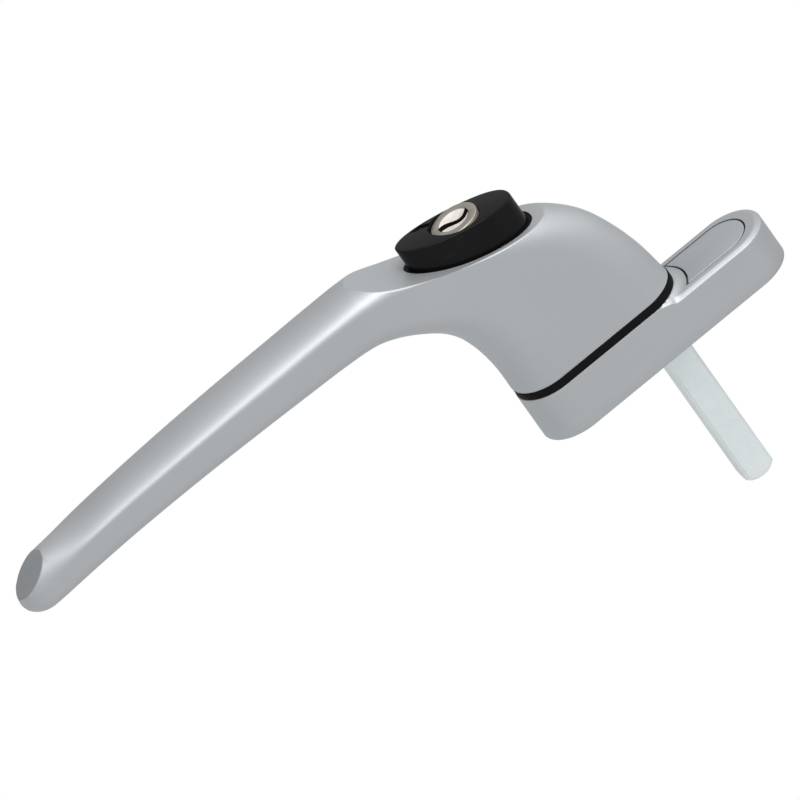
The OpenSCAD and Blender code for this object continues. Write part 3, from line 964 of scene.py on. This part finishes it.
class HANDLE_OT_spring(bpy.types.Operator):
    """Adds the button's coil spring as a fixed copy of the imported coil; the real one shortens as the button
    is pushed
    """

    bl_idname = "handle.add_spring"
    bl_label = "Button spring"

    def execute(self, context):
        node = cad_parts["button_spring"]
        spring = bpy.data.objects.new("button_spring_coil", node.data.copy())
        context.scene.collection.objects.link(spring)
        smooth_over(spring, 35.0)
        finish_piece(spring, "handle", "spring_steel", finish_of("spring_steel"), "button_spring")
        low, high = span("button_spring")[2]
        at(0, BOLT_UP, low)
        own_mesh(spring)
        return {"FINISHED"}


KEPT = {
    "black_plastic": ("button_bezel",),
    "zinc_plate": ("backing_plate", "plate_screws", "index_rotor", "locking_bolt", "cam_screw"),
    "spring_steel": ("keeper_bush", "detent_springs", "spindle_pin", "thrust_washer", "spindle_clip",
                     "catch_ring", "button_stop_pin", "wafer_springs", "lock_cam"),
    "lock_brass": ("lock_sleeve", "wafers"),
}


class HANDLE_OT_works(bpy.types.Operator):
    """Gives the bezel, the plate, the pins, the springs and the lock's works their finishes"""

    bl_idname = "handle.finish_works"
    bl_label = "Works"

    def execute(self, context):
        for kind, names in KEPT.items():
            for name in names:
                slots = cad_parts[name].data.materials
                slots.clear()
                slots.append(finish_of(kind))
        return {"FINISHED"}


# ---- stage ----


def add_area(name, place, aim, size, power, tint=(1.0, 1.0, 1.0)):
    light = bpy.data.lights.new(name, "AREA")
    light.shape = "RECTANGLE"
    light.size, light.size_y = size
    light.energy = power
    light.color = tint
    lamp = bpy.data.objects.new(name, light)
    bpy.context.scene.collection.objects.link(lamp)
    lamp.location = place
    lamp.rotation_euler = (aim - place).to_track_quat("-Z", "Y").to_euler()
    return lamp


def paint_room(look):
    """White backdrop for the camera, and a soft, uneven room for everything else."""
    world = bpy.data.worlds.new("studio")
    bpy.context.scene.world = world
    world.use_nodes = True
    f = Finish(world.node_tree)
    way = f.node("ShaderNodeTexCoord")

    def toward(direction, low, high):
        near = f.node("ShaderNodeVectorMath", {"operation": "DOT_PRODUCT"},
                      {0: way, 1: Vector(direction).normalized()}, 1)
        return f.node("ShaderNodeMapRange", {"interpolation_type": "SMOOTHSTEP"}, {
            "Value": near, "From Min": low, "From Max": high})

    level = (look.room
             + toward((0.36, -0.92, 0.15), 0.55, 0.97) * 0.24
             - toward((0.99, -0.08, 0.10), 0.90, 0.995) * 0.16
             - toward((-0.95, -0.3, 0.1), 0.45, 0.95) * 0.20
             - toward((-0.85, -0.3, -0.45), 0.78, 0.99) * 0.54
             + toward((0.0, -0.40, 0.92), 0.75, 0.98) * 0.35
             - toward((-0.2, 0.45, 0.87), 0.60, 0.95) * 0.20)
    soft = f.node("ShaderNodeBackground", {}, {"Color": (0.98, 0.99, 1.0, 1.0), "Strength": level})
    plain = f.node("ShaderNodeBackground", {}, {"Color": (1.0, 1.0, 1.0, 1.0), "Strength": 1.0})
    seen = f.node("ShaderNodeLightPath")
    both = f.node("ShaderNodeMixShader", {}, {0: seen, 1: soft, 2: plain})
    f.node("ShaderNodeOutputWorld", {}, {"Surface": both})


class HANDLE_OT_stage(bpy.types.Operator):
    """Adds the camera, the lights, the room and the floor"""

    bl_idname = "handle.add_stage"
    bl_label = "Stage"

    def execute(self, context):
        scene = context.scene
        look = scene.handle_stage
        right = Vector((0.3861, 0.5105, 0.7683))
        down = Vector((0.3070, 0.7143, -0.6289))
        toward = Vector((0.8699, -0.4787, -0.1191))
        centre = (right * -56.75 + down * 12.65) * MM
        camera = bpy.data.objects.new("camera", bpy.data.cameras.new("camera"))
        scene.collection.objects.link(camera)
        camera.data.lens = look.lens
        camera.data.sensor_width = 36.0
        camera.data.clip_start = 0.05
        place = centre + toward * look.distance
        camera.matrix_world = Matrix((
            (right.x, -down.x, toward.x, place.x), (right.y, -down.y, toward.y, place.y),
            (right.z, -down.z, toward.z, place.z), (0, 0, 0, 1)))
        scene.camera = camera
        scene.view_settings.view_transform = "Standard"
        scene.view_settings.look = "None"
        paint_room(look)
        add_area("key", centre + Vector((0.45, -1.1, 0.45)), centre, (0.7, 0.7), 6.0)
        add_area("strip", centre + Vector((0.72, -1.30, 0.18)), centre, (0.10, 0.7), 0.6)
        bm = bmesh.new()
        side = 1.0
        bm.faces.new([bm.verts.new((x, y, look.floor_drop))
                      for x, y in ((-side, -side), (side, -side), (side, side), (-side, side))])
        floor = piece_from("floor", bm)
        floor.data.materials.append(finish_of("pale_floor"))
        return {"FINISHED"}


class HANDLE_PT_pieces(bpy.types.Panel):
    """Lists the handle's pieces and their sizes"""

    bl_idname = "HANDLE_PT_pieces"
    bl_label = "Tilt turn handle"
    bl_space_type = "VIEW_3D"
    bl_region_type = "UI"
    bl_category = "Handle"

    def draw(self, context):
        layout = self.layout
        for operator in OPERATORS:
            layout.operator(operator.bl_idname)
        for name in GROUPS:
            group = getattr(context.scene, name)
            box = layout.box()
            for key in group.__annotations__:
                box.prop(group, key)


OPERATORS = (HANDLE_OT_stage, HANDLE_OT_base, HANDLE_OT_cover, HANDLE_OT_gasket, HANDLE_OT_lever,
             HANDLE_OT_spindle, HANDLE_OT_button, HANDLE_OT_plug,
             HANDLE_OT_spring, HANDLE_OT_works)
GROUPS = {"handle_lever": LeverLook, "handle_base": BaseLook, "handle_button": ButtonLook,
          "handle_finish": FinishLook, "handle_stage": StageLook}


def register():
    for cls in (*GROUPS.values(), *OPERATORS, HANDLE_PT_pieces):
        bpy.utils.register_class(cls)
    for name, cls in GROUPS.items():
        setattr(bpy.types.Scene, name, PointerProperty(type=cls))


def unregister():
    for name in GROUPS:
        delattr(bpy.types.Scene, name)
    for cls in reversed((*GROUPS.values(), *OPERATORS, HANDLE_PT_pieces)):
        bpy.utils.unregister_class(cls)


def main():
    register()
    for operator in OPERATORS:
        group, name = operator.bl_idname.split(".")
        getattr(getattr(bpy.ops, group), name)()


if __name__ == "__main__":
    main()
